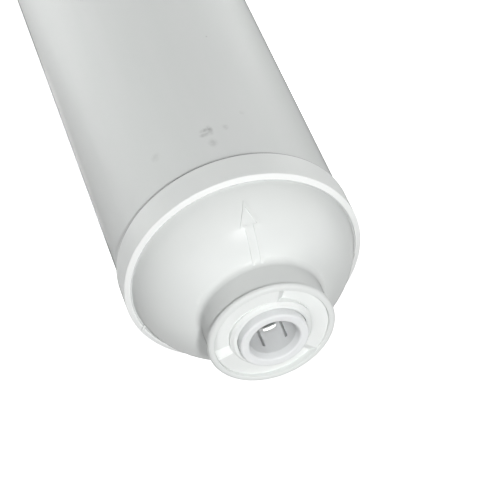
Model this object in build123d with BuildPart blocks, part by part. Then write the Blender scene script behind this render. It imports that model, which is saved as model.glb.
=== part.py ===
from build123d import *
import os
from math import acos, degrees, sqrt

# Inline post-filter cartridge: a welded white tube with a domed cap and a push-fit port at each end.
# It stands on the outlet port's lip, with the inlet port on top. Z is the cartridge's axis, in mm.

# Whole cartridge
LENGTH = 254.0  # from the outlet port's lip to the inlet port's lip
TUBE_R = 25.4  # outside of the body tube
TUBE_WALL = 2.4
TUBE_BORE_R = TUBE_R - TUBE_WALL
SPIGOT_R = 24.3  # turned-down tube end that goes into the cap's skirt

# End cap heights are measured from the lip of its port, which is 0, inwards is negative
RIM = -20.25  # outer edge of the cap's shoulder
SEAM = RIM - 6.95  # open edge of the cap's skirt
TUBE_END = RIM - 1.35  # end of the tube inside the cap, and the face that the strainer rests on
CAP_R = 26.1
CAP_WALL = 2.4
SKIRT_EDGE_ROUND = 0.5
SHOULDER_R = 24.8  # inner edge of the sloping shoulder
SHOULDER_RISE = 0.6
SHOULDER_ROUND = 0.2
GROOVE_RISE = 0.1  # floor of the thin groove between shoulder and dome, above the rim

# Dome: half of an ellipse turned about the axis
DOME_A = 24.88
DOME_B = 18.35
DOME_CENTRE = RIM - 3.18

# Boss of the port and the steps of its bore, from the lip inwards
BOSS_R = 13.2
BOSS_FILLET = 1.7
LIP_R = 13.7
LIP_THICKNESS = 1.0
LIP_ROUND = 0.75
LIP_INNER_ROUND = 0.25
POCKET_R = 12.25
POCKET_FLOOR = -5.6
SLEEVE_R = 9.3
SLEEVE_END = -9.2
SPACER_THICKNESS = 1.0
SEAL_STEP = SLEEVE_END - SPACER_THICKNESS
SEAL_R = 7.15
SOCKET_R = 5.0  # takes a tube of 9.525 mm
SOCKET_TOP = -12.8
SOCKET_FLOOR = -17.6
FLOW_R = 3.2
STEM_END = -19.4
STEM_WALL = 2.3

# Ribs under the dome
RIB_COUNT = 6
RIB_THICKNESS = 1.6

# Raised outline of the flow arrow, on the dome's near side
ARROW_ANGLE = 270.0
ARROW_TIP_R = 23.6
ARROW_TAIL_R = 13.6
ARROW_HEAD_LENGTH = 5.4
ARROW_HEAD_WIDTH = 4.35
ARROW_SHAFT_WIDTH = 2.25
ARROW_LINE = 0.45
ARROW_HEIGHT = 0.35
ARROW_ROOT = 0.8  # depth that the raised line is sunk into the dome's wall
ARROW_SECTOR = 60.0  # part of the dome that the outline is trimmed to
ARROW_MARGIN = 0.3  # what that part has beyond the arrow's tip and tail

# Retainer ring in the boss
RAMP_TURN = 11.0  # angle at which the ring stopped when it was welded
COLLAR_BORE_R = 7.5
COLLAR_TOP = -0.05
COLLAR_FLAT_R = 8.3
COLLAR_FOOT_R = 8.8
COUNTERBORE_FLOOR = -3.9
THROAT_R = 6.3
THROAT_END = -5.05
CHAMBER_R = 7.35
CHAMBER_TOP = -6.05
RAMP_COUNT = 3
RAMP_INNER_R = 8.9
RAMP_TOP = -0.5
RAMP_DROP = 1.2
RISER_ANGLE = 9.0  # part of a turn that the slanted face between two ramps takes
RAMP_LEAD = 0.06  # part of the drop that stands above the flat start of each ramp
RAMP_OVERRUN = 0.6  # how far the cut runs past the ring's outside

# Collet, measured from the lip when it stands out
COLLET_PROUD = 1.9
COLLET_TRAVEL = 2.0
COLLET_TURN = 13.4  # angle of its first slot
COLLET_BORE_R = 5.0
COLLET_HEAD_R = 7.38
COLLET_HEAD_FLOOR = -1.7
COLLET_NECK_R = 6.0
BARB_TOP = -5.35
BARB_R = 6.95
BARB_EDGE = -6.25
BARB_FOOT = -6.65
COLLET_END = -7.0
COLLET_END_R = 6.5
MOUTH_R = 5.5  # top of the funnel
MOUTH_DEPTH = 1.7
MOUTH_DISH = 0.12  # how far the face dips towards the mouth
MOUTH_ROUND = 0.5
HEAD_ROUND = 0.45
FINGER_COUNT = 6
SLOT_WIDTH = 0.6
SLOT_TOP = -1.9

# Grip teeth, one in each finger
TOOTH_EDGE = (4.79, -6.5)  # radius and height of the cutting edge
TOOTH_SLOPE = 42.0
TOOTH_LENGTH = 1.3
TOOTH_THICKNESS = 0.4
TOOTH_WIDTH = 2.9
TOOTH_WINDOW = (0.58, 0.4)  # length and height of the opening over the edge in the finger's bore

# Seal and spacer
O_RING_BORE_R = 4.78  # as squeezed by a tube of 9.525 mm
O_RING_SECTION = 2.36
SPACER_BORE_R = 5.2
SPACER_R = 9.2

# Strainers, felt pads and carbon
BED_R = 22.95
STRAINER_R = 22.8
STRAINER_THICKNESS = 2.0
STRAINER_SLOT = (3.6, 1.2)
STRAINER_RINGS = ((7.5, 10), (12.8, 18), (18.1, 26))  # radius and number of slots
FELT_THICKNESS = 5.0
FELT_TOP = TUBE_END - STRAINER_THICKNESS
FELT_END = FELT_TOP - FELT_THICKNESS

INLET_SEAT = Plane((0, 0, LENGTH), x_dir=(1, 0, 0), z_dir=(0, 0, 1))
OUTLET_SEAT = Plane((0, 0, 0), x_dir=(1, 0, 0), z_dir=(0, 0, -1))


def axis_of(seat):
    """The port's axis, pointing out of the cartridge."""
    return Axis(seat.origin, seat.z_dir)


def turned(seat, angle):
    """The seat turned about its own axis."""
    return Plane(seat.origin, x_dir=seat.x_dir.rotate(axis_of(seat), angle), z_dir=seat.z_dir)


def section(seat, angle=0.0):
    """Plane through the port's axis: x is the radius and y the height above the lip."""
    half = turned(seat, angle)
    return Plane(seat.origin, x_dir=half.x_dir, z_dir=-half.y_dir)


def dome_height(radius, inset=0.0):
    """Height of the dome, or of a surface that lies inset below it, at a radius."""
    return DOME_CENTRE + (DOME_B - inset) * sqrt(1 - (radius / (DOME_A - inset)) ** 2)


def dome_radius(height, inset=0.0):
    """Radius of the dome, or of a surface that lies inset below it, at a height."""
    return (DOME_A - inset) * sqrt(1 - ((height - DOME_CENTRE) / (DOME_B - inset)) ** 2)


def dome_arc(start_radius, end_radius, inset=0.0):
    """Elliptical arc of the dome's section between two radii."""
    start = degrees(acos(start_radius / (DOME_A - inset)))
    end = degrees(acos(end_radius / (DOME_A - inset)))
    return EllipticalCenterArc(
        (0, DOME_CENTRE), DOME_A - inset, DOME_B - inset, start_angle=start, arc_size=end - start
    )


def finish_piece(piece, name):
    """Labels a finished piece and writes it."""
    piece.part.label = name
    export_step(piece.part, f"parts/{name}.step")


def make_flow_arrow(seat):
    """Thin raised outline of an arrow that follows the dome and points from the port to the rim."""
    middle_r = (ARROW_TIP_R + ARROW_TAIL_R) / 2
    tip = Vector(ARROW_TIP_R, dome_height(ARROW_TIP_R))
    tail = Vector(ARROW_TAIL_R, dome_height(ARROW_TAIL_R))
    length = (tip - tail).length
    slope = (tip - tail).normalized()
    radial = section(seat, ARROW_ANGLE)
    along = radial.x_dir * slope.X + radial.y_dir * slope.Y
    across = radial.z_dir
    middle = radial.from_local_coords(Vector(middle_r, dome_height(middle_r)))
    drawing = Plane(middle, x_dir=along, z_dir=along.cross(across))
    head = length / 2 - ARROW_HEAD_LENGTH
    half_shaft = ARROW_SHAFT_WIDTH / 2
    half_head = ARROW_HEAD_WIDTH / 2
    outer_r = ARROW_TIP_R + ARROW_MARGIN
    inner_r = ARROW_TAIL_R - ARROW_MARGIN
    with BuildPart() as flow_arrow:
        with BuildSketch(drawing):
            with BuildLine():
                Polyline(
                    (-length / 2, -half_shaft),
                    (head, -half_shaft),
                    (head, -half_head),
                    (length / 2, 0),
                    (head, half_head),
                    (head, half_shaft),
                    (-length / 2, half_shaft),
                    close=True,
                )
            make_face()
            offset(amount=-ARROW_LINE, kind=Kind.INTERSECTION, mode=Mode.SUBTRACT)
        extrude(amount=DOME_B / 2, both=True)
        with BuildSketch(section(seat, ARROW_ANGLE - ARROW_SECTOR / 2)):
            with BuildLine():
                top = dome_arc(outer_r, inner_r, inset=-ARROW_HEIGHT)
                root = dome_arc(outer_r, inner_r, inset=ARROW_ROOT)
                Line(top @ 0, root @ 0)
                Line(top @ 1, root @ 1)
            make_face()
        revolve(axis=axis_of(seat), revolution_arc=ARROW_SECTOR, mode=Mode.INTERSECT)
    return flow_arrow.part


def make_end_cap(name, seat, has_arrow):
    """Domed end cap: skirt, shoulder, groove, dome, boss with lip, stepped port bore and ribs inside."""
    groove = RIM + GROOVE_RISE
    seal_stem_r = SEAL_R + STEM_WALL
    socket_stem_r = SOCKET_R + STEM_WALL
    sleeve_stem_r = SLEEVE_R + STEM_WALL
    with BuildPart() as cap:
        with BuildSketch(section(seat)):
            with BuildLine():
                dome = dome_arc(dome_radius(groove), BOSS_R)
                rim = FilletPolyline(
                    (SPIGOT_R, SEAM),
                    (CAP_R, SEAM),
                    (CAP_R, RIM),
                    (SHOULDER_R, RIM + SHOULDER_RISE),
                    (SHOULDER_R, groove),
                    dome @ 0,
                    radius=[SKIRT_EDGE_ROUND, SHOULDER_ROUND, SHOULDER_ROUND, 0],
                )
                inside = dome_arc(sleeve_stem_r, dome_radius(TUBE_END, CAP_WALL), inset=CAP_WALL)
                FilletPolyline(
                    dome @ 1,
                    (BOSS_R, -LIP_THICKNESS),
                    (LIP_R, -LIP_THICKNESS),
                    (LIP_R, 0),
                    (POCKET_R, 0),
                    (POCKET_R, POCKET_FLOOR),
                    (SLEEVE_R, POCKET_FLOOR),
                    radius=[0, 0, LIP_ROUND, LIP_INNER_ROUND, 0],
                )
                Polyline(
                    (SLEEVE_R, POCKET_FLOOR),
                    (SLEEVE_R, SEAL_STEP),
                    (SEAL_R, SEAL_STEP),
                    (SEAL_R, SOCKET_TOP),
                    (SOCKET_R, SOCKET_TOP),
                    (SOCKET_R, SOCKET_FLOOR),
                    (FLOW_R, SOCKET_FLOOR),
                    (FLOW_R, STEM_END),
                    (socket_stem_r, STEM_END),
                    (socket_stem_r, SOCKET_TOP - STEM_WALL),
                    (seal_stem_r, SOCKET_TOP - STEM_WALL / 2),
                    (seal_stem_r, SEAL_STEP - STEM_WALL / 2),
                    (sleeve_stem_r, SEAL_STEP),
                    inside @ 0,
                )
                Polyline(inside @ 1, (SPIGOT_R, TUBE_END), rim @ 0)
            make_face()
        revolve(axis=axis_of(seat))
        boss_foot = section(seat).from_local_coords(Vector(BOSS_R, dome_height(BOSS_R)))
        fillet(cap.edges().filter_by(GeomType.CIRCLE).sort_by_distance(boss_foot)[0], BOSS_FILLET)
        rib_planes = [section(seat, 360 / RIB_COUNT * i) for i in range(RIB_COUNT)]
        with BuildSketch(*rib_planes):
            with BuildLine():
                rib_root = socket_stem_r - STEM_WALL / 2
                rib_top = sleeve_stem_r - STEM_WALL / 2
                crest = dome_arc(rib_top, TUBE_BORE_R, inset=CAP_WALL / 2)
                Polyline(
                    crest @ 1,
                    (TUBE_BORE_R, TUBE_END),
                    (rib_root, TUBE_END),
                    (rib_root, SOCKET_TOP - STEM_WALL / 2),
                    (rib_top, SEAL_STEP),
                    crest @ 0,
                )
            make_face()
        extrude(amount=RIB_THICKNESS / 2, both=True)
        if has_arrow:
            add(make_flow_arrow(seat))
    finish_piece(cap, name)


def make_ramp_cut():
    """Cut over one ratchet ramp, which climbs from the foot of a slanted riser to the top of the next one."""
    outer_r = POCKET_R + RAMP_OVERRUN
    ramp_height = RAMP_DROP + RAMP_LEAD
    ramp_pitch = ramp_height * RAMP_COUNT
    riser_pitch = RAMP_DROP * 360 / RISER_ANGLE
    ramp = Face.make_surface_from_curves(
        Helix(ramp_pitch, ramp_height, RAMP_INNER_R, lefthand=True),
        Helix(ramp_pitch, ramp_height, outer_r, lefthand=True),
    )
    riser = Face.make_surface_from_curves(
        Helix(riser_pitch, RAMP_DROP, RAMP_INNER_R), Helix(riser_pitch, RAMP_DROP, outer_r)
    )
    with BuildPart() as ramp_cut:
        extrude(to_extrude=ramp, amount=ramp_height + RAMP_DROP, dir=(0, 0, 1))
        extrude(to_extrude=riser, amount=ramp_height + RAMP_DROP, dir=(0, 0, 1))
    return ramp_cut.part


def make_retainer(name, seat):
    """Ring welded into the boss: collar round the collet, ratchet ramps, throat and finger chamber."""
    foot = seat.offset(RAMP_TOP - RAMP_DROP)
    steps = [RAMP_TURN + 360 / RAMP_COUNT * i for i in range(RAMP_COUNT)]
    with BuildPart() as retainer:
        with BuildSketch(section(seat)):
            with BuildLine():
                Polyline(
                    (COLLAR_BORE_R, COLLAR_TOP),
                    (COLLAR_FLAT_R, COLLAR_TOP),
                    (COLLAR_FOOT_R, RAMP_TOP),
                    (POCKET_R, RAMP_TOP),
                    (POCKET_R, POCKET_FLOOR),
                    (SLEEVE_R, POCKET_FLOOR),
                    (SLEEVE_R, SLEEVE_END),
                    (CHAMBER_R, SLEEVE_END),
                    (CHAMBER_R, CHAMBER_TOP),
                    (THROAT_R, THROAT_END),
                    (THROAT_R, COUNTERBORE_FLOOR),
                    (COLLAR_BORE_R, COUNTERBORE_FLOOR),
                    close=True,
                )
            make_face()
        revolve(axis=axis_of(seat))
        with Locations(*[turned(foot, step).location for step in steps]):
            add(make_ramp_cut(), mode=Mode.SUBTRACT)
    finish_piece(retainer, name)


def finger_angles():
    """Angles of the middles of the collet's fingers."""
    return [COLLET_TURN + 360 / FINGER_COUNT * (i + 0.5) for i in range(FINGER_COUNT)]


def make_grip_teeth(name, seat):
    """Slanted stainless plates, one in the middle of each finger."""
    with BuildPart() as teeth:
        with BuildSketch(*[section(seat, angle) for angle in finger_angles()]):
            with Locations(TOOTH_EDGE):
                Rectangle(TOOTH_LENGTH, TOOTH_THICKNESS, rotation=TOOTH_SLOPE, align=(Align.MIN, Align.MAX))
        extrude(amount=TOOTH_WIDTH / 2, both=True)
    finish_piece(teeth, name)
    return teeth.part


def make_collet(name, seat, teeth):
    """Push-fit collet: round head with a funnel mouth, and fingers that end in barbs."""
    slot_length = SLOT_TOP - COLLET_END
    slots = [COLLET_TURN + 360 / FINGER_COUNT * i for i in range(FINGER_COUNT)]
    with BuildPart() as collet:
        with BuildSketch(section(seat)):
            with BuildLine():
                FilletPolyline(
                    (COLLET_BORE_R, COLLET_END),
                    (COLLET_END_R, COLLET_END),
                    (BARB_R, BARB_FOOT),
                    (BARB_R, BARB_EDGE),
                    (COLLET_NECK_R, BARB_TOP),
                    (COLLET_NECK_R, COLLET_HEAD_FLOOR),
                    (COLLET_HEAD_R, COLLET_HEAD_FLOOR),
                    (COLLET_HEAD_R, COLLET_PROUD),
                    (MOUTH_R, COLLET_PROUD - MOUTH_DISH),
                    (COLLET_BORE_R, COLLET_PROUD - MOUTH_DEPTH),
                    (COLLET_BORE_R, COLLET_END),
                    radius=[0, 0, 0, 0, 0, 0, 0, HEAD_ROUND, MOUTH_ROUND, 0],
                )
            make_face()
        revolve(axis=axis_of(seat))
        with BuildSketch(*[section(seat, angle) for angle in slots]):
            with Locations(((COLLET_BORE_R + BARB_R) / 2, SLOT_TOP - slot_length / 2)):
                Rectangle(BARB_R, slot_length)
        extrude(amount=SLOT_WIDTH / 2, both=True, mode=Mode.SUBTRACT)
        add(teeth, mode=Mode.SUBTRACT)
        with BuildSketch(*[section(seat, angle) for angle in finger_angles()]):
            with Locations(TOOTH_EDGE):
                Rectangle(*TOOTH_WINDOW, rotation=TOOTH_SLOPE, align=(Align.MIN, Align.MIN))
        extrude(amount=TOOTH_WIDTH / 2, both=True, mode=Mode.SUBTRACT)
    finish_piece(collet, name)


def make_spacer(name, seat):
    """Washer that the retainer clamps over the seal."""
    with BuildPart() as spacer:
        with BuildSketch(seat.offset(SEAL_STEP)):
            Circle(SPACER_R)
            Circle(SPACER_BORE_R, mode=Mode.SUBTRACT)
        extrude(amount=SPACER_THICKNESS)
    finish_piece(spacer, name)


def make_o_ring(name, seat):
    """Seal on the tube, between the spacer and the socket's step."""
    section_r = O_RING_SECTION / 2
    with BuildPart() as o_ring:
        with BuildSketch(section(seat)):
            with Locations((O_RING_BORE_R + section_r, (SEAL_STEP + SOCKET_TOP) / 2)):
                Circle(section_r)
        revolve(axis=axis_of(seat))
    finish_piece(o_ring, name)


def make_strainer(name, seat):
    """Slotted disc that rests on the cap's ribs."""
    with BuildPart() as strainer:
        with BuildSketch(seat.offset(FELT_TOP)):
            Circle(STRAINER_R)
            for radius, count in STRAINER_RINGS:
                with PolarLocations(radius, count):
                    Rectangle(*STRAINER_SLOT, mode=Mode.SUBTRACT)
        extrude(amount=STRAINER_THICKNESS)
    finish_piece(strainer, name)


def make_felt_pad(name, seat):
    """Felt disc between the strainer and the bed."""
    with BuildPart() as felt_pad:
        with BuildSketch(seat.offset(FELT_END)):
            Circle(BED_R)
        extrude(amount=FELT_THICKNESS)
    finish_piece(felt_pad, name)


def make_housing_tube():
    """Body tube with a turned-down spigot at each end."""
    with BuildPart() as housing_tube:
        with BuildSketch(Plane.XZ):
            with BuildLine():
                Polyline(
                    (TUBE_BORE_R, -TUBE_END),
                    (SPIGOT_R, -TUBE_END),
                    (SPIGOT_R, -SEAM),
                    (TUBE_R, -SEAM),
                    (TUBE_R, LENGTH + SEAM),
                    (SPIGOT_R, LENGTH + SEAM),
                    (SPIGOT_R, LENGTH + TUBE_END),
                    (TUBE_BORE_R, LENGTH + TUBE_END),
                    close=True,
                )
            make_face()
        revolve(axis=Axis.Z)
    finish_piece(housing_tube, "housing_tube")


def make_carbon_bed():
    """Granular carbon between the two felt pads."""
    with BuildPart() as carbon_bed:
        with BuildSketch(Plane.XY.offset(-FELT_END)):
            Circle(BED_R)
        extrude(amount=LENGTH + 2 * FELT_END)
    finish_piece(carbon_bed, "carbon_bed")


os.makedirs("parts", exist_ok=True)
make_housing_tube()
make_carbon_bed()
# The inlet's collet stands out. The outlet's is pushed in, because the cartridge stands on that end.
for end, seat, pushed_in in (("inlet", INLET_SEAT, 0.0), ("outlet", OUTLET_SEAT, COLLET_TRAVEL)):
    make_end_cap(f"{end}_cap", seat, has_arrow=end == "inlet")
    make_retainer(f"{end}_retainer", seat)
    collet_seat = seat.offset(-pushed_in)
    grip_teeth = make_grip_teeth(f"{end}_grip_teeth", collet_seat)
    make_collet(f"{end}_collet", collet_seat, grip_teeth)
    make_spacer(f"{end}_spacer", seat)
    make_o_ring(f"{end}_o_ring", seat)
    make_strainer(f"{end}_strainer", seat)
    make_felt_pad(f"{end}_felt_pad", seat)
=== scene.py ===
"""Looks of an inline post-filter cartridge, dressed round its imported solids.

Places are in the cartridge's own frame, in metres: Z runs along its axis from the outlet port, on which
it stands, to the inlet port, and the flow arrow faces -Y. Angles turn about Z and start at +X.
"""

import logging
import math
from dataclasses import dataclass
from enum import Enum

import bpy
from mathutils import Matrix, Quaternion, Vector


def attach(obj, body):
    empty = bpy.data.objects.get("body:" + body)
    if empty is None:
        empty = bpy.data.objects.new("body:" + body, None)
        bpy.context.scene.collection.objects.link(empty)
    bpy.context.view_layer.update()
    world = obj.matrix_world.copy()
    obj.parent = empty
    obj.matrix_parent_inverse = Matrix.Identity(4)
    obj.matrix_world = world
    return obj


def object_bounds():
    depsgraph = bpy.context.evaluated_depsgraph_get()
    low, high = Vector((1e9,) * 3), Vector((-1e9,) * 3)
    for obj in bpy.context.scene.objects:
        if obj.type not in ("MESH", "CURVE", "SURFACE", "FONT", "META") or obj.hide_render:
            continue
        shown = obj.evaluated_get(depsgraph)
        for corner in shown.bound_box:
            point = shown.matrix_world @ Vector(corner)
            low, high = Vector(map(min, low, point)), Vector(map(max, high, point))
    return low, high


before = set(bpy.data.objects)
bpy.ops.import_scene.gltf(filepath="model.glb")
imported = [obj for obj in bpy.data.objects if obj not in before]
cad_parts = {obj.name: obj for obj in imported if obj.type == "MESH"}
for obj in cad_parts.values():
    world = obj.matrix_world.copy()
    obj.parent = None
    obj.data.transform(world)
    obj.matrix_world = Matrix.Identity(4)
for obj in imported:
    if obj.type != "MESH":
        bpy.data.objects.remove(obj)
CAD_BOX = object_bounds()
LOG = logging.getLogger("cartridge")
MM = 0.001

Colour = tuple[float, float, float]
Span = tuple[float, float]
Stretch = tuple[float, float, float]
Socket = bpy.types.NodeSocket

WHITE: Colour = (1.0, 1.0, 1.0)
EVEN: Stretch = (1.0, 1.0, 1.0)
WHOLE: Span = (0.0, 1.0)
# Most values of a noise lie in this span.
NOISE_SPAN: Span = (0.3, 0.7)


class Body(Enum):
    """Body that new pieces ride on."""

    HOUSING = "housing"


class End(Enum):
    """The cartridge's two ends."""

    INLET = "inlet"
    OUTLET = "outlet"

    def node(self, piece: str) -> str:
        """Name of this end's copy of a piece."""
        return f"{self.value}_{piece}"


class Slot(Enum):
    """Material slot of the cap, which nothing here uses."""

    CAP = "cap_shell"


def on_round(radius: float, angle: float, height: float) -> Vector:
    """Point at a radius, an angle and a height.

    Args:
        radius: Distance from the axis in metres.
        angle: Angle about the axis in degrees.
        height: Height above the outlet lip in metres.

    Returns:
        The point in the cartridge's frame.
    """
    turn = math.radians(angle)
    return Vector((radius * math.cos(turn), radius * math.sin(turn), height))


class Nodes:
    """Node tree, with short ways to add and join its nodes."""

    def __init__(self, tree: bpy.types.NodeTree) -> None:
        """Takes up a tree.

        Args:
            tree: The tree that gets the nodes.
        """
        self.tree = tree

    def add(self, kind: str) -> bpy.types.Node:
        """Adds a node of a kind."""
        return self.tree.nodes.new(kind)

    def join(self, source: Socket, target: Socket) -> None:
        """Links two sockets."""
        self.tree.links.new(source, target)

    def math(self, operation: str, first: Socket, second: Socket | float = 0.0) -> Socket:
        """Works on one value or combines two.

        Args:
            operation: Name of the operation.
            first: The first value.
            second: The second value, a socket or a number, where the operation has one.

        Returns:
            The result socket.
        """
        node = self.add("ShaderNodeMath")
        node.operation = operation
        self.join(first, node.inputs[0])
        if isinstance(second, Socket):
            self.join(second, node.inputs[1])
        else:
            node.inputs[1].default_value = second
        return node.outputs["Value"]

    def blend(self, factor: Socket, plain: Socket | Colour, changed: Socket | Colour) -> Socket:
        """Mixes two colours.

        Args:
            factor: Share of the second colour.
            plain: The first colour.
            changed: The second colour.

        Returns:
            The colour socket.
        """
        mix = self.add("ShaderNodeMix")
        mix.data_type = "RGBA"
        self.join(factor, mix.inputs["Factor"])
        sockets = [socket for socket in mix.inputs if socket.type == "RGBA"]
        for socket, colour in zip(sockets, (plain, changed)):
            if isinstance(colour, tuple):
                socket.default_value = (*colour, 1.0)
            else:
                self.join(colour, socket)
        return next(socket for socket in mix.outputs if socket.type == "RGBA")

    def seen(self) -> Socket:
        """Factor that is 1 for rays from the camera, a reflection or glass.

        Returns:
            The factor socket.
        """
        path = self.add("ShaderNodeLightPath")
        result = path.outputs["Is Camera Ray"]
        for name in ("Is Glossy Ray", "Is Transmission Ray"):
            result = self.math("MAXIMUM", result, path.outputs[name])
        return result


class Bench(Nodes):
    """Nodes of one material, which has one principled surface."""

    def __init__(self, name: str) -> None:
        """Starts the material.

        Args:
            name: Name of the material.
        """
        self.material = bpy.data.materials.new(name)
        self.material.use_nodes = True
        super().__init__(self.material.node_tree)
        self.tree.nodes.clear()
        self.surface = self.add("ShaderNodeBsdfPrincipled")
        output = self.add("ShaderNodeOutputMaterial")
        self.join(self.surface.outputs["BSDF"], output.inputs["Surface"])
        self.place = self.add("ShaderNodeTexCoord").outputs["Object"]

    def constant(self, **values: float | Colour | Vector) -> None:
        """Sets sockets of the surface that are the same all over.

        Args:
            values: Socket names, with underscores for spaces, and their values.
        """
        for name, value in values.items():
            socket = self.surface.inputs[name.replace("_", " ")]
            socket.default_value = (*value, 1.0) if isinstance(value, tuple) else value

    def noise(
        self, size: float, detail: float = 3.0, stretch: Stretch = EVEN, roughness: float = 0.5
    ) -> Socket:
        """Noise whose blobs are about one size.

        Args:
            size: Size of a blob in metres.
            detail: Octaves of finer noise.
            stretch: Scale along X, Y and Z before the noise, under 1 to draw it out.
            roughness: Weight of the finer octaves.

        Returns:
            The factor socket.
        """
        mapping = self.add("ShaderNodeMapping")
        mapping.inputs["Scale"].default_value = stretch
        self.join(self.place, mapping.inputs["Vector"])
        texture = self.add("ShaderNodeTexNoise")
        texture.inputs["Scale"].default_value = 1.0 / size
        texture.inputs["Detail"].default_value = detail
        texture.inputs["Roughness"].default_value = roughness
        self.join(mapping.outputs["Vector"], texture.inputs["Vector"])
        return texture.outputs["Fac"]

    def ranged(self, source: Socket, results: Span, values: Span = WHOLE) -> Socket:
        """Maps a span of values softly onto a span of results and clamps it.

        Args:
            source: The value.
            results: Results at the two ends of the span of values.
            values: The two ends of the span of values.

        Returns:
            The result socket.
        """
        remap = self.add("ShaderNodeMapRange")
        remap.interpolation_type = "SMOOTHSTEP"
        remap.inputs["From Min"].default_value, remap.inputs["From Max"].default_value = values
        remap.inputs["To Min"].default_value, remap.inputs["To Max"].default_value = results
        self.join(source, remap.inputs["Value"])
        return remap.outputs["Result"]

    def past(self, source: Socket, start: float, soft: float) -> Socket:
        """Mask that goes from 0 to 1 where a value passes a start."""
        return self.ranged(source, (0.0, 1.0), (start, start + soft))

    def short_of(self, source: Socket, end: float, soft: float) -> Socket:
        """Mask that goes from 1 to 0 where a value passes an end."""
        return self.ranged(source, (1.0, 0.0), (end, end + soft))

    def paint(self, colour: Socket) -> None:
        """Gives the surface its colour."""
        self.join(colour, self.surface.inputs["Base Color"])

    def gloss(self, roughness: Socket) -> None:
        """Gives the surface its roughness."""
        self.join(roughness, self.surface.inputs["Roughness"])

    def relief(self, height: Socket, depth: float) -> None:
        """Gives the surface a fine relief.

        Args:
            height: Height from 0 to 1.
            depth: Depth of the relief in metres.
        """
        bump = self.add("ShaderNodeBump")
        bump.inputs["Distance"].default_value = depth
        bump.inputs["Strength"].default_value = 1.0
        self.join(height, bump.inputs["Height"])
        self.join(bump.outputs["Normal"], self.surface.inputs["Normal"])


@dataclass(frozen=True)
class Smudge:
    """Grey handling mark on the tube.

    Attributes:
        angle: Angle about the axis in degrees.
        height: Height above the outlet lip in metres.
        across: Half its width round the tube in metres.
        along: Half its length along the tube in metres.
        strength: Share of the dirt's colour at its middle.
        tilt: Turn of its length away from the tube's axis in degrees.
    """

    angle: float
    height: float
    across: float
    along: float
    strength: float
    tilt: float = 0.0


@dataclass(frozen=True, kw_only=True)
class Plastic:
    """Plastic with a clean colour, faint clouding and a fine grain.

    Attributes:
        name: Name of the material.
        colour: Linear colour.
        shade: Linear colour that the clouds drift to.
        cloud_size: Size of the clouds in metres.
        cloud_span: Values of the noise between which the colour drifts.
        roughness: Lowest and highest roughness.
        grain_size: Size of the grain in metres.
        grain_depth: Depth of the grain in metres.
        draw: Scale of the grain along X, Y and Z, under 1 along the way that it was drawn.
        bending: How strongly it bends light, its index of refraction.
        specular: Strength of its reflections, 0.5 for a polished surface.
        outline_shade: Share of light that a tinted clear coat lets through; the coat paints shade that
            deepens where the surface is seen edge-on, darkening the outlines.
        outline_shade_roughness: Roughness of that coat.
        glow: Share of light that goes below the surface.
        glow_depth: How far that light goes, in metres.
    """

    name: str
    colour: Colour
    shade: Colour
    cloud_size: float
    cloud_span: Span = (0.35, 0.65)
    roughness: Span
    grain_size: float
    grain_depth: float
    draw: Stretch = EVEN
    bending: float = 1.49
    specular: float = 0.5
    outline_shade: float = 1.0
    outline_shade_roughness: float = 0.4
    glow: float = 0.0
    glow_depth: float = 0.0

    def bench(self) -> Bench:
        """Builds the material's nodes without its colour.

        Returns:
            The bench that holds them.
        """
        bench = Bench(self.name)
        grain = bench.noise(self.grain_size, detail=2.0, stretch=self.draw)
        bench.gloss(bench.ranged(grain, self.roughness, NOISE_SPAN))
        bench.relief(grain, self.grain_depth)
        bench.constant(IOR=self.bending, Specular_IOR_Level=self.specular)
        # A tinted clear coat paints shade that deepens where the surface turns edge-on, darkening its
        # outlines.
        if self.outline_shade < 1.0:
            tint = (self.outline_shade, self.outline_shade, self.outline_shade)
            bench.constant(Coat_Weight=1.0, Coat_IOR=1.0, Coat_Roughness=self.outline_shade_roughness, Coat_Tint=tint)
        if self.glow:
            bench.constant(Subsurface_Weight=self.glow, Subsurface_Scale=self.glow_depth)
            bench.constant(Subsurface_Radius=Vector(EVEN))
        return bench

    def clouded(self, bench: Bench) -> Socket:
        """Colour with its clouds.

        Args:
            bench: The material's bench.

        Returns:
            The colour socket.
        """
        cloud = bench.ranged(bench.noise(self.cloud_size, stretch=self.draw), WHOLE, self.cloud_span)
        return bench.blend(cloud, self.colour, self.shade)

    def material(self) -> bpy.types.Material:
        """Builds the material.

        Returns:
            The finished material.
        """
        bench = self.bench()
        bench.paint(self.clouded(bench))
        return bench.material


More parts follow.
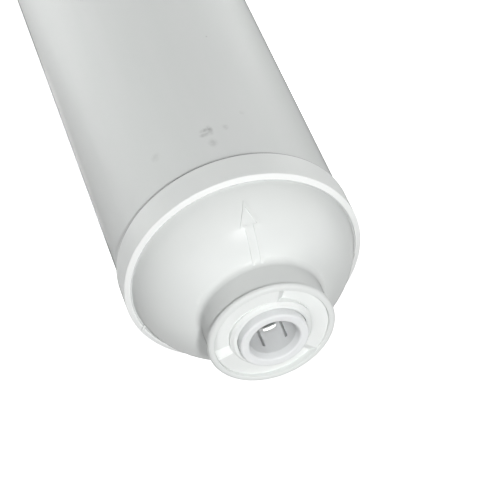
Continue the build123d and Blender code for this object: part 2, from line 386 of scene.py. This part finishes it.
@dataclass(frozen=True, kw_only=True)
class EdgedPlastic(Plastic):
    """Plastic of a cap, with a painted highlight on its shoulder, painted shade in the groove inside the
    shoulder and painted shade along the rim of its skirt.

    Attributes:
        shoulder_highlight: Linear colour of the painted highlight on the shoulder.
        edge_radius: Distance from the axis where the shoulder starts, in metres.
        edge_height: Distance from the cartridge's middle where it starts, in metres.
        line: Linear colour of the painted shade along the rim of the skirt, where the cap meets the tube.
        line_height: Distance from the cartridge's middle where that painted shade ends, in metres.
        groove: Linear colour of the painted shade in the thin groove inside the shoulder.
        groove_radii: Distances from the axis between which the groove lies, in metres.
        groove_soft: Width of the change of colour at those two distances, in metres.
        groove_height: Distance from the cartridge's middle where the groove ends, in metres.
        middle: Height of the cartridge's middle in metres.
        soft: Width of the other changes of colour in metres.
    """

    shoulder_highlight: Colour
    edge_radius: float = 24.7 * MM
    edge_height: float = 106.5 * MM
    line: Colour
    line_height: float = 100.2 * MM
    groove: Colour
    groove_radii: Span = (24.38 * MM, 24.76 * MM)
    groove_soft: Span = (0.1 * MM, 0.05 * MM)
    groove_height: float = 106.95 * MM
    middle: float = 127.0 * MM
    soft: float = 0.2 * MM

    def measured(self, bench: Bench) -> tuple[Socket, Socket]:
        """Measures the place on the cap.

        Args:
            bench: The material's bench.

        Returns:
            The distances from the axis and, along it, from the cartridge's middle.
        """
        parts = bench.add("ShaderNodeSeparateXYZ")
        bench.join(bench.place, parts.inputs["Vector"])
        squares = [bench.math("POWER", parts.outputs[axis], 2.0) for axis in ("X", "Y")]
        radius = bench.math("POWER", bench.math("ADD", *squares), 0.5)
        height = bench.math("ABSOLUTE", bench.math("SUBTRACT", parts.outputs["Z"], self.middle))
        return radius, height

    def material(self) -> bpy.types.Material:
        """Builds the material with the painted highlight on its shoulder and painted shade in its groove and
        along its skirt.

        Returns:
            The finished material.
        """
        bench = self.bench()
        radius, height = self.measured(bench)
        # Painted highlight: the band of the shoulder is painted paler.
        outside = bench.past(radius, self.edge_radius, self.soft)
        above = bench.past(height, self.edge_height, self.soft)
        shoulder = bench.math("MULTIPLY", outside, above)
        # Painted shade in the thin groove inside the shoulder.
        (inner, outer), (inner_soft, outer_soft) = self.groove_radii, self.groove_soft
        from_inner = bench.past(radius, inner, inner_soft)
        to_outer = bench.short_of(radius, outer, outer_soft)
        low = bench.short_of(height, self.groove_height, self.soft)
        groove = bench.math("MULTIPLY", bench.math("MULTIPLY", from_inner, to_outer), low)
        # Painted shade along the rim of the skirt, where the cap meets the tube.
        skirt = bench.short_of(height, self.line_height, self.soft)
        colour = self.clouded(bench)
        # Paints the highlight on the shoulder, then the shade in the groove and along the skirt.
        for mask, tint in ((shoulder, self.shoulder_highlight), (groove, self.groove), (skirt, self.line)):
            colour = bench.blend(mask, colour, tint)
        bench.paint(colour)
        return bench.material


@dataclass(frozen=True, kw_only=True)
class MarkedPlastic(Plastic):
    """Plastic of the tube, which has been handled.

    Attributes:
        radius: Radius of the tube that carries the marks, in metres.
        smudges: The marks.
        dirt: Linear colour of the dirt.
        dirt_size: Size of the broken edges of a mark, in metres.
        dirt_span: Values of the noise between which a mark breaks up.
        dirt_share: Share of a mark that is left at those two values.
    """

    radius: float = 25.4 * MM
    smudges: tuple[Smudge, ...]
    dirt: Colour = (0.30, 0.31, 0.30)
    dirt_size: float = 0.9 * MM
    dirt_span: Span = (0.40, 0.60)
    dirt_share: Span = (0.55, 1.0)

    def mark(self, bench: Bench, smudge: Smudge) -> Socket:
        """Soft patch at a mark's place.

        Args:
            bench: The material's bench.
            smudge: The mark.

        Returns:
            The share of dirt.
        """
        turn = bench.add("ShaderNodeMapping")
        turn.vector_type = "TEXTURE"
        turn.inputs["Location"].default_value = on_round(self.radius, smudge.angle, smudge.height)
        turn.inputs["Rotation"].default_value = (math.radians(smudge.tilt), 0.0, math.radians(smudge.angle))
        turn.inputs["Scale"].default_value = (smudge.across, smudge.across, smudge.along)
        bench.join(bench.place, turn.inputs["Vector"])
        length = bench.add("ShaderNodeVectorMath")
        length.operation = "LENGTH"
        bench.join(turn.outputs["Vector"], length.inputs[0])
        return bench.ranged(length.outputs["Value"], (smudge.strength, 0.0))

    def material(self) -> bpy.types.Material:
        """Builds the material with its marks.

        Returns:
            The finished material.
        """
        bench = self.bench()
        marks, *others = [self.mark(bench, smudge) for smudge in self.smudges]
        for patch in others:
            marks = bench.math("MAXIMUM", marks, patch)
        broken = bench.ranged(bench.noise(self.dirt_size, detail=4.0), self.dirt_share, self.dirt_span)
        dirt = bench.math("MULTIPLY", marks, broken)
        bench.paint(bench.blend(dirt, self.clouded(bench), self.dirt))
        return bench.material


@dataclass(frozen=True, kw_only=True)
class Steel:
    """Rolled stainless steel.

    Attributes:
        name: Name of the material.
        colour: Linear colour.
        shade: Linear colour of the rolling lines.
        roughness: Lowest and highest roughness.
        line_size: Width of a rolling line in metres.
        line_depth: Depth of a rolling line in metres.
        draw: Scale of the lines along X, Y and Z, over 1 across them.
    """

    name: str
    colour: Colour
    shade: Colour
    roughness: Span
    line_size: float
    line_depth: float = 0.01 * MM
    draw: Stretch = (1.0, 1.0, 6.0)

    def material(self) -> bpy.types.Material:
        """Builds the material.

        Returns:
            The finished material.
        """
        bench = Bench(self.name)
        lines = bench.noise(self.line_size, detail=2.0, stretch=self.draw)
        bench.paint(bench.blend(lines, self.colour, self.shade))
        bench.gloss(bench.ranged(lines, self.roughness, NOISE_SPAN))
        bench.relief(lines, self.line_depth)
        bench.constant(Metallic=1.0)
        return bench.material


@dataclass(frozen=True, kw_only=True)
class Rubber:
    """Matt moulded rubber.

    Attributes:
        name: Name of the material.
        colour: Linear colour.
        bloom: Linear colour of the faint bloom on it.
        bloom_size: Size of a patch of bloom in metres.
        bloom_span: Values of the noise between which the bloom sets in.
        roughness: Lowest and highest roughness.
        grain_size: Size of the grain in metres.
        grain_depth: Depth of the grain in metres.
    """

    name: str
    colour: Colour
    bloom: Colour
    bloom_size: float = 1.2 * MM
    bloom_span: Span = (0.45, 0.75)
    roughness: Span
    grain_size: float = 0.15 * MM
    grain_depth: float = 0.01 * MM

    def material(self) -> bpy.types.Material:
        """Builds the material.

        Returns:
            The finished material.
        """
        bench = Bench(self.name)
        bloom = bench.noise(self.bloom_size, detail=4.0)
        bench.paint(bench.blend(bench.ranged(bloom, WHOLE, self.bloom_span), self.colour, self.bloom))
        bench.gloss(bench.ranged(bloom, self.roughness))
        bench.relief(bench.noise(self.grain_size), self.grain_depth)
        return bench.material


@dataclass(frozen=True, kw_only=True)
class Felt:
    """Needled felt with short tangled fibres.

    Attributes:
        name: Name of the material.
        colour: Linear colour of the fibres.
        hollow: Linear colour between them, painted shade in the hollows between the fibres.
        fibre: Width of a fibre tuft in metres.
        depth: Depth between the fibres in metres.
        lies: The two ways that the fibres lie, as scales along X, Y and Z.
        pile_span: Values of the pile between which hollow turns to fibre.
        roughness: Its roughness.
        fuzz: Strength of its soft sheen.
        fuzz_roughness: Roughness of that sheen.
    """

    name: str
    colour: Colour
    hollow: Colour
    fibre: float
    depth: float
    lies: tuple[Stretch, Stretch] = ((1.0, 0.25, 1.0), (0.25, 1.0, 1.0))
    pile_span: Span = (0.4, 0.7)
    roughness: float = 0.95
    fuzz: float = 0.3
    fuzz_roughness: float = 0.5

    def material(self) -> bpy.types.Material:
        """Builds the material.

        Returns:
            The finished material.
        """
        bench = Bench(self.name)
        tufts = [bench.noise(self.fibre, detail=6.0, stretch=lie, roughness=0.7) for lie in self.lies]
        pile = bench.math("MAXIMUM", *tufts)
        # The low parts of the pile are painted darker: painted shade between the fibres.
        bench.paint(bench.blend(bench.ranged(pile, WHOLE, self.pile_span), self.hollow, self.colour))
        bench.relief(pile, self.depth)
        bench.constant(Roughness=self.roughness, Sheen_Weight=self.fuzz, Sheen_Roughness=self.fuzz_roughness)
        return bench.material


@dataclass(frozen=True, kw_only=True)
class Granules:
    """Bed of crushed granules.

    Attributes:
        name: Name of the material.
        colour: Linear colour of a granule.
        glint: Linear colour of its bright facets.
        grain: Size of a granule in metres.
        depth: Depth between granules in metres.
        roughness: Lowest and highest roughness.
    """

    name: str
    colour: Colour
    glint: Colour
    grain: float
    depth: float
    roughness: Span = (0.35, 0.9)

    def material(self) -> bpy.types.Material:
        """Builds the material.

        Returns:
            The finished material.
        """
        bench = Bench(self.name)
        cells = bench.add("ShaderNodeTexVoronoi")
        cells.inputs["Scale"].default_value = 1.0 / self.grain
        bench.join(bench.place, cells.inputs["Vector"])
        facet = bench.add("ShaderNodeSeparateColor")
        bench.join(cells.outputs["Color"], facet.inputs["Color"])
        bench.paint(bench.blend(facet.outputs["Red"], self.colour, self.glint))
        bench.gloss(bench.ranged(facet.outputs["Green"], self.roughness))
        bench.relief(bench.ranged(cells.outputs["Distance"], (1.0, 0.0)), self.depth)
        return bench.material


CAP_WHITE = EdgedPlastic(
    name="cap_white",
    colour=(0.823, 0.846, 0.830),
    shade=(0.808, 0.830, 0.818),
    cloud_size=14 * MM,
    roughness=(0.28, 0.33),
    grain_size=0.5 * MM,
    grain_depth=0.001 * MM,
    specular=0.1,
    # Tinted coat that paints shade at the outlines.
    outline_shade=0.975,
    # Painted highlight on the shoulder.
    shoulder_highlight=(0.95, 0.965, 0.955),
    # Painted shade along the rim of the skirt.
    line=(0.32, 0.31, 0.33),
    # Painted shade in the groove.
    groove=(0.70, 0.71, 0.71),
)
RING_WHITE = Plastic(
    name="ring_white",
    colour=(0.840, 0.858, 0.846),
    shade=(0.825, 0.844, 0.833),
    cloud_size=8 * MM,
    roughness=(0.34, 0.42),
    grain_size=0.4 * MM,
    grain_depth=0.002 * MM,
    specular=0.12,
)
TUBE_WHITE = MarkedPlastic(
    name="tube_white",
    colour=(0.816, 0.836, 0.825),
    shade=(0.800, 0.826, 0.811),
    cloud_size=9 * MM,
    roughness=(0.32, 0.42),
    grain_size=0.6 * MM,
    grain_depth=0.003 * MM,
    draw=(1.0, 1.0, 0.08),
    specular=0.015,
    # Tinted coat that paints shade at the outlines.
    outline_shade=0.957,
    smudges=(
        Smudge(274.5, 216.7 * MM, 0.95 * MM, 1.6 * MM, 0.48, tilt=-81.0),
        Smudge(275.2, 218.0 * MM, 0.9 * MM, 1.55 * MM, 0.58, tilt=-87.0),
        Smudge(272.2, 217.1 * MM, 1.0 * MM, 2.0 * MM, 0.58),
        Smudge(273.1, 221.0 * MM, 1.4 * MM, 1.8 * MM, 0.3),
        Smudge(264.5, 217.2 * MM, 1.0 * MM, 1.4 * MM, 0.25),
        Smudge(301.0, 217.4 * MM, 1.4 * MM, 1.6 * MM, 0.22),
        Smudge(253.6, 213.0 * MM, 0.8 * MM, 0.9 * MM, 0.15),
        Smudge(253.5, 186.2 * MM, 0.3 * MM, 0.4 * MM, 0.5),
    ),
)
COLLET_GREY = Plastic(
    name="collet_grey",
    colour=(0.825, 0.84, 0.845),
    shade=(0.805, 0.82, 0.825),
    cloud_size=5 * MM,
    roughness=(0.28, 0.36),
    grain_size=0.4 * MM,
    grain_depth=0.002 * MM,
    specular=0.15,
    glow=0.5,
    glow_depth=1.2 * MM,
)
WASHER_WHITE = Plastic(
    name="washer_white",
    colour=(0.74, 0.76, 0.75),
    shade=(0.72, 0.74, 0.73),
    cloud_size=5 * MM,
    roughness=(0.4, 0.5),
    grain_size=0.4 * MM,
    grain_depth=0.004 * MM,
)
STRAINER_WHITE = Plastic(
    name="strainer_white",
    colour=(0.72, 0.74, 0.73),
    shade=(0.69, 0.71, 0.70),
    cloud_size=8 * MM,
    roughness=(0.42, 0.55),
    grain_size=0.4 * MM,
    grain_depth=0.004 * MM,
)
TOOTH_STEEL = Steel(
    name="tooth_steel",
    colour=(0.72, 0.72, 0.70),
    shade=(0.64, 0.64, 0.63),
    roughness=(0.50, 0.58),
    line_size=0.08 * MM,
)
SEAL_BLACK = Rubber(
    name="seal_black",
    colour=(0.018, 0.018, 0.019),
    bloom=(0.045, 0.045, 0.046),
    roughness=(0.55, 0.75),
)
PAD_FELT = Felt(
    name="pad_felt",
    colour=(0.78, 0.78, 0.75),
    hollow=(0.50, 0.50, 0.48),
    fibre=0.35 * MM,
    depth=0.15 * MM,
)
BED_CARBON = Granules(
    name="bed_carbon",
    colour=(0.012, 0.012, 0.012),
    glint=(0.06, 0.06, 0.062),
    grain=0.9 * MM,
    depth=0.3 * MM,
)


def dress(node: str, material: bpy.types.Material) -> None:
    """Gives a solid its finish.

    Args:
        node: Name of the solid's node.
        material: The finish.
    """
    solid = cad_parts[node]
    solid.data.materials.clear()
    solid.data.materials.append(material)
    LOG.info("dressed %s in %s", node, material.name)


@dataclass(frozen=True)
class BodyTube:
    """The tube and what fills it.

    Attributes:
        tube: Node of the tube.
        bed: Node of the bed inside it.
    """

    tube: str = "housing_tube"
    bed: str = "carbon_bed"

    def dress(self) -> None:
        """Gives the tube and the bed their finishes."""
        dress(self.tube, TUBE_WHITE.material())
        dress(self.bed, BED_CARBON.material())


@dataclass(frozen=True)
class EndAssembly:
    """Cap, port and filter layers of one end.

    Attributes:
        end: Which end it is.
        finishes: Finish of each piece.
    """

    end: End
    finishes: dict[str, bpy.types.Material]

    def dress(self) -> None:
        """Gives each piece of this end its finish."""
        for piece, material in self.finishes.items():
            dress(self.end.node(piece), material)


@dataclass(frozen=True)
class WeldBurr:
    """Crumb of weld flash that was left on the inlet cap's shoulder.

    Attributes:
        radius: Distance of its middle from the axis in metres.
        angle: Its angle about the axis in degrees.
        height: Height of its middle above the outlet lip in metres.
        width: Its size across the shoulder in metres.
        length: Its size round the shoulder in metres.
        thickness: Its size along the axis in metres.
        ragged: Unevenness of its outline, as a share of its size.
        seed: Draw of that unevenness.
        fineness: Fineness of the ball that it starts from.
    """

    radius: float = 24.9 * MM
    angle: float = 23.0
    height: float = 234.3 * MM
    width: float = 0.9 * MM
    length: float = 1.7 * MM
    thickness: float = 0.7 * MM
    ragged: float = 0.12
    seed: int = 4
    fineness: int = 2

    def build(self, material: bpy.types.Material) -> bpy.types.Object:
        """Models the crumb where it sits.

        Args:
            material: Finish of the cap.

        Returns:
            The crumb's object.
        """
        bpy.ops.object.select_all(action="DESELECT")
        # The ball is one unit wide, so the resize gives the crumb its size.
        bpy.ops.mesh.primitive_ico_sphere_add(subdivisions=self.fineness, radius=0.5)
        burr = bpy.context.object
        burr.name = "inlet_cap_burr"
        bpy.ops.object.mode_set(mode="EDIT")
        bpy.ops.mesh.select_all(action="SELECT")
        bpy.ops.transform.vertex_random(offset=self.ragged, uniform=1.0, seed=self.seed)
        bpy.ops.transform.resize(value=(self.width, self.length, self.thickness), center_override=(0, 0, 0))
        bpy.ops.transform.rotate(value=math.radians(self.angle), orient_axis="Z", center_override=(0, 0, 0))
        bpy.ops.transform.translate(value=on_round(self.radius, self.angle, self.height))
        bpy.ops.object.mode_set(mode="OBJECT")
        bpy.ops.object.modifier_add(type="SUBSURF")
        bpy.ops.object.modifier_apply(modifier=burr.modifiers[0].name)
        bpy.ops.object.shade_smooth()
        burr.data.materials.append(material)
        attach(burr, Body.HOUSING.value)
        LOG.info("burr at %.1f degrees on the shoulder", self.angle)
        return burr


@dataclass(frozen=True)
class Lamp:
    """Soft studio lamp.

    Attributes:
        name: Name of the lamp.
        place: Where it stands.
        aim: Point that it faces.
        size: Side of its square face in metres.
        power: Power in watts.
        mirrored: Whether it shows in reflections.
    """

    name: str
    place: Vector
    aim: Vector
    size: float
    power: float
    mirrored: bool = True

    def build(self) -> bpy.types.Object:
        """Sets the lamp up.

        Returns:
            The lamp's object.
        """
        bpy.ops.object.light_add(type="AREA", location=self.place)
        lamp = bpy.context.object
        lamp.name = self.name
        lamp.rotation_euler = (self.aim - self.place).to_track_quat("-Z", "Y").to_euler()
        lamp.data.shape = "SQUARE"
        lamp.data.size = self.size
        lamp.data.energy = self.power
        lamp.visible_camera = False
        lamp.visible_glossy = self.mirrored
        LOG.info("lamp %s of %.2f W", self.name, self.power)
        return lamp


@dataclass(frozen=True)
class View:
    """Camera that looks at the inlet end and is rolled nearly upside down.

    Attributes:
        aim: Point beside the axis that the picture is centred on.
        distance: Distance of the camera from that point in metres.
        azimuth: Direction of view about Z in degrees, 0 along +Y.
        elevation: Angle of the camera above the horizon in degrees.
        roll: Turn about the direction of view in degrees.
        lens: Focal length in mm.
        sensor: Width of the sensor in mm.
        near: Distance from which the camera sees, in metres.
    """

    aim: Vector = Vector((-1.590, -0.379, 225.809)) * MM
    distance: float = 439.894 * MM
    azimuth: float = 13.402
    elevation: float = 43.480
    roll: float = 156.532
    lens: float = 154.24
    sensor: float = 36.0
    near: float = 10.0 * MM

    def forward(self) -> Vector:
        """Works out the direction of view.

        Returns:
            A vector of unit length.
        """
        turn = math.radians(self.azimuth)
        tilt = math.radians(self.elevation)
        level = math.cos(tilt)
        return Vector((-math.sin(turn) * level, math.cos(turn) * level, -math.sin(tilt)))

    def build(self) -> bpy.types.Object:
        """Sets the camera up and makes it the scene's.

        Returns:
            The camera's object.
        """
        forward = self.forward()
        bpy.ops.object.camera_add(location=self.aim - forward * self.distance)
        camera = bpy.context.object
        camera.name = "photo_view"
        upright = forward.to_track_quat("-Z", "Y")
        camera.rotation_euler = (upright @ Quaternion((0, 0, 1), math.radians(self.roll))).to_euler()
        camera.data.sensor_width = self.sensor
        camera.data.lens = self.lens
        camera.data.clip_start = self.near
        bpy.context.scene.camera = camera
        LOG.info("camera %.0f mm from the inlet end", self.distance / MM)
        return camera


@dataclass(frozen=True)
class Studio:
    """White floor, surroundings and lamps.

    Attributes:
        floor_size: Side of the floor in metres.
        floor_colour: Linear colour of the floor.
        floor_shade: Linear colour that its clouds drift to.
        floor_cloud: Size of those clouds in metres.
        floor_roughness: Roughness of the floor.
        floor_glow: White that the floor adds for the camera and in reflections.
        fill: Linear colour of the light from all round.
        lamps: The lamps.
    """

    floor_size: float
    floor_colour: Colour
    floor_shade: Colour
    floor_cloud: float
    floor_roughness: float
    floor_glow: float
    fill: Colour
    lamps: tuple[Lamp, ...]

    def build_floor(self) -> None:
        """Lays the floor, which stays white and keeps the cartridge's shadow."""
        bpy.ops.mesh.primitive_plane_add(size=self.floor_size, location=(0, 0, CAD_BOX[0].z))
        floor = bpy.context.object
        floor.name = "floor"
        bench = Bench("floor_white")
        cloud = bench.ranged(bench.noise(self.floor_cloud), WHOLE)
        bench.paint(bench.blend(cloud, self.floor_colour, self.floor_shade))
        bench.constant(Roughness=self.floor_roughness, Specular_IOR_Level=0.0, Emission_Color=WHITE)
        glow = bench.math("MULTIPLY", bench.seen(), self.floor_glow)
        bench.join(glow, bench.surface.inputs["Emission Strength"])
        floor.data.materials.append(bench.material)
        LOG.info("floor of %.0f m", self.floor_size)

    def build_world(self) -> None:
        """Sets the light from all round, white where it is seen."""
        world = bpy.data.worlds.new("surroundings")
        world.use_nodes = True
        bpy.context.scene.world = world
        nodes = Nodes(world.node_tree)
        background = nodes.tree.nodes["Background"]
        nodes.join(nodes.blend(nodes.seen(), self.fill, WHITE), background.inputs["Color"])

    def build(self) -> None:
        """Sets up floor, surroundings and lamps."""
        self.build_floor()
        self.build_world()
        for lamp in self.lamps:
            lamp.build()
        bpy.context.scene.view_settings.view_transform = "Standard"


INLET_FACE = Vector((0.0, 0.0, 240.0)) * MM
TUBE_TOP = Vector((0.0, 0.0, 220.0)) * MM
FACE_LAMP_DISTANCE = 700 * MM
SIDE_LAMP_SIZE = 400 * MM
FLOOR_LAMP_SIZE = 120 * MM
FLOOR_LAMP_RADIUS = 140 * MM
FLOOR_LAMP_HEIGHT = 3 * MM
FLOOR_AIM_RADIUS = 84 * MM
FLOOR_AIM_HEIGHT = 250 * MM


def face_lamp(name: str, direction: tuple[float, float, float], size: float, power: float) -> Lamp:
    """Lamp that faces the inlet end.

    Args:
        name: Name of the lamp.
        direction: Direction from the inlet end to the lamp, of unit length.
        size: Side of its square face in metres.
        power: Power in watts.

    Returns:
        The lamp.
    """
    return Lamp(name, INLET_FACE + Vector(direction) * FACE_LAMP_DISTANCE, INLET_FACE, size, power)


def floor_lamp(name: str, angle: float, power: float) -> Lamp:
    """Panel on the floor beside the tube, which faces up along it.

    Args:
        name: Name of the lamp.
        angle: Its angle about the axis in degrees.
        power: Power in watts.

    Returns:
        The lamp.
    """
    place = on_round(FLOOR_LAMP_RADIUS, angle, FLOOR_LAMP_HEIGHT)
    aim = on_round(FLOOR_AIM_RADIUS, angle, FLOOR_AIM_HEIGHT)
    return Lamp(name, place, aim, FLOOR_LAMP_SIZE, power)


STUDIO = Studio(
    floor_size=20.0,
    floor_colour=(0.85, 0.85, 0.85),
    floor_shade=(0.833, 0.833, 0.833),
    floor_cloud=0.4,
    floor_roughness=0.9,
    floor_glow=0.85,
    fill=(0.03, 0.03, 0.03),
    lamps=(
        face_lamp("key", (0.0, -0.62, 0.785), 60 * MM, 3.3),
        face_lamp("left_high", (0.54, -0.20, 0.82), 300 * MM, 1.5),
        face_lamp("right_high", (-0.54, -0.20, 0.82), 300 * MM, 0.15),
        Lamp("right_side", on_round(0.8, 185.0, 0.4), TUBE_TOP, SIDE_LAMP_SIZE, 1.4),
        face_lamp("back_high", (-0.168, 0.706, 0.688), 250 * MM, 0.22),
        Lamp("back_side", on_round(0.9, 90.0, 0.5), TUBE_TOP, SIDE_LAMP_SIZE, 1.2, mirrored=False),
        floor_lamp("left_floor", 0.0, 0.52),
        floor_lamp("right_floor", 190.0, 0.264),
        floor_lamp("front_floor", 270.0, 0.145),
        floor_lamp("back_floor", 90.0, 0.4),
    ),
)


def end_finishes() -> dict[str, bpy.types.Material]:
    """Builds the finishes that both ends share.

    Returns:
        The finish of each piece, by the piece's name.
    """
    return {
        "cap": CAP_WHITE.material(),
        "retainer": RING_WHITE.material(),
        "collet": COLLET_GREY.material(),
        "grip_teeth": TOOTH_STEEL.material(),
        "spacer": WASHER_WHITE.material(),
        "o_ring": SEAL_BLACK.material(),
        "strainer": STRAINER_WHITE.material(),
        "felt_pad": PAD_FELT.material(),
    }


def main() -> None:
    """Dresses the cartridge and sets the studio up."""
    logging.basicConfig(level=logging.INFO, format="%(name)s: %(message)s")
    bpy.ops.object.select_all(action="DESELECT")
    BodyTube().dress()
    finishes = end_finishes()
    for end in End:
        EndAssembly(end, finishes).dress()
    WeldBurr().build(finishes["cap"])
    STUDIO.build()
    View().build()


if __name__ == "__main__":
    main()
